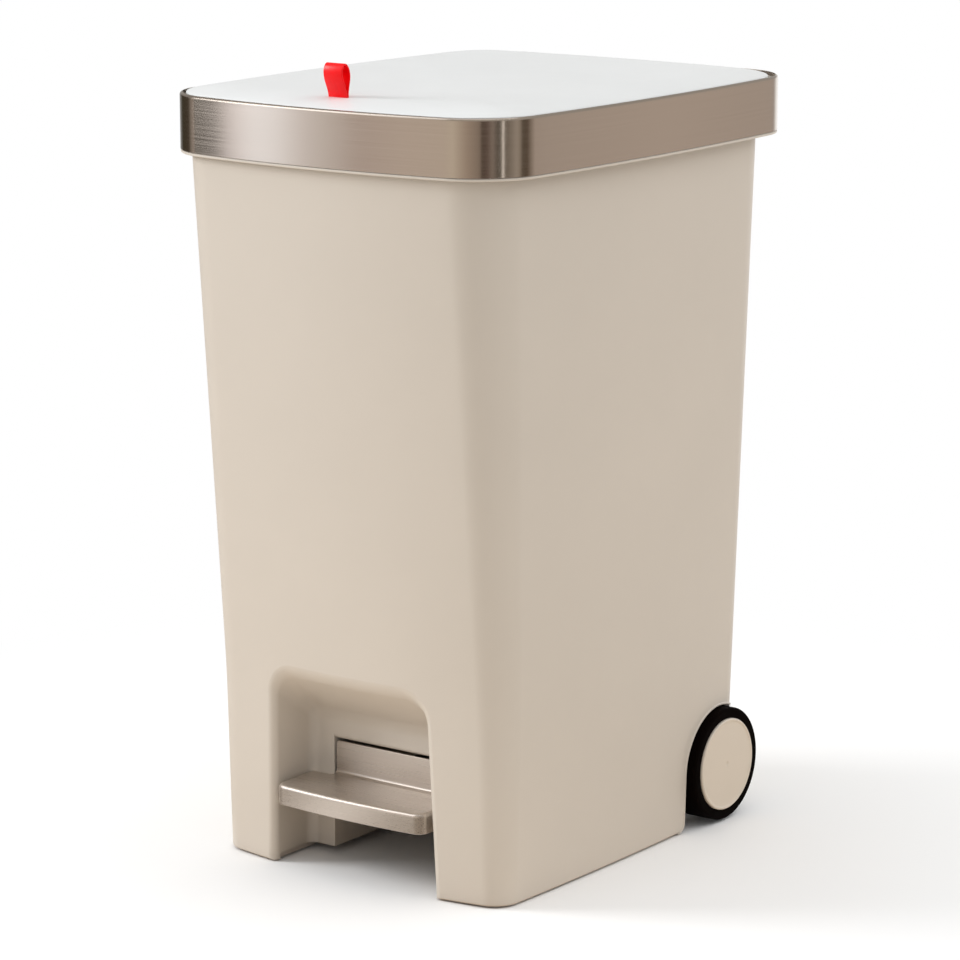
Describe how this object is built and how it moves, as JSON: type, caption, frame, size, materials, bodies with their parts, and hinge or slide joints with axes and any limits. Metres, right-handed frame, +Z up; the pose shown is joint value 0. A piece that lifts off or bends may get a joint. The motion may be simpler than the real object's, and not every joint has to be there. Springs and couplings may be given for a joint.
{
  "type": "pedal bin",
  "caption": "Wheeled pedal bin with a tapered body, a steel band, an inset hinged lid with a pull loop, and a tread that lifts the lid through a lever and rod.",
  "frame": {"origin": "on the floor under the middle of the steel band", "axes": "+Z up, -Y towards the front where the tread is, +X towards the right side seen from behind the tread looking along +Y"},
  "size_m": [0.3828, 0.491, 0.7246],
  "materials": {
    "beige_plastic": "fine satin moulding",
    "band_steel": "brushed along its length, warm tint",
    "pedal_steel": "satin with bright edges",
    "white_plastic": "matte",
    "grey_plastic": "matte",
    "black_rubber": "matte",
    "tyre": "matte",
    "zinc": "plated",
    "red_strap": "soft strap"
  },
  "bodies": {
    "bin": {"outer_body": "beige_plastic", "foot_pad_front_left": "black_rubber", "foot_pad_front_right": "black_rubber", "foot_pad_rear_left": "black_rubber", "foot_pad_rear_right": "black_rubber", "top_ring": "beige_plastic", "steel_band": "band_steel", "hinge_pin_left": "zinc", "hinge_pin_right": "zinc", "lid_bumper_left": "black_rubber", "lid_bumper_right": "black_rubber", "rod_cover": "beige_plastic", "cover_screw_1": "zinc", "cover_screw_2": "zinc", "cover_screw_3": "zinc", "cover_screw_4": "zinc", "bracket_screw_left": "zinc", "bracket_screw_right": "zinc", "rod_guide_lower": "grey_plastic", "rod_guide_upper": "grey_plastic", "pedal_bracket": "zinc", "pedal_pin": "zinc", "pedal_pin_clip": "zinc", "wheel_axle": "zinc", "axle_cap_left": "zinc", "axle_cap_right": "zinc"},
    "lid": {"lid_panel": "white_plastic", "lid_inner_panel": "white_plastic", "lid_hinge_left": "zinc", "lid_hinge_right": "zinc", "lid_crank": "zinc", "pull_loop": "red_strap", "loop_clip": "grey_plastic", "panel_screw_1": "zinc", "panel_screw_2": "zinc", "panel_screw_3": "zinc", "panel_screw_4": "zinc", "hinge_screw_left_1": "zinc", "hinge_screw_left_2": "zinc", "hinge_screw_right_1": "zinc", "hinge_screw_right_2": "zinc", "crank_screw_left": "zinc", "crank_screw_right": "zinc", "clip_screw_left": "zinc", "clip_screw_right": "zinc"},
    "pedal": {"pedal_plate": "pedal_steel", "pedal_lever": "grey_plastic", "pedal_screw_left": "zinc", "pedal_screw_right": "zinc"},
    "lift_rod": {"lift_rod": "zinc", "rod_foot": "black_rubber", "rod_fork": "grey_plastic", "rod_cross_pin": "zinc"},
    "wheel_left": {"tyre_left": "tyre", "wheel_hub_left": "grey_plastic", "hub_cap_left": "beige_plastic"},
    "wheel_right": {"tyre_right": "tyre", "wheel_hub_right": "grey_plastic", "hub_cap_right": "beige_plastic"}
  },
  "joints": [
    {"name": "lid_hinge", "type": "hinge", "parent": "bin", "child": "lid", "pos_m": [0, 0.22972, 0.6835], "axis": [-1, 0, 0], "range_deg": [0, 75]},
    {"name": "pedal_pivot", "type": "hinge", "parent": "bin", "child": "pedal", "pos_m": [0, 0.045, 0.0694], "axis": [1, 0, 0], "range_deg": [0, 11.01]},
    {"name": "rod_slide", "type": "slide", "parent": "bin", "child": "lift_rod", "axis": [0, 0.0452, 0.999], "range_m": [0, 0.0275]},
    {"name": "wheel_left_spin", "type": "hinge", "parent": "bin", "child": "wheel_left", "pos_m": [-0.15, 0.1515, 0.0552], "axis": [1, 0, 0], "continuous": true},
    {"name": "wheel_right_spin", "type": "hinge", "parent": "bin", "child": "wheel_right", "pos_m": [0.15, 0.1515, 0.0552], "axis": [1, 0, 0], "continuous": true}
  ],
  "couplings": [
    {"joint": "pedal_pivot", "follows": "lid_hinge", "ratio": 0.14667},
    {"joint": "rod_slide", "follows": "lid_hinge", "m_per_rad": 0.020955}
  ]
}
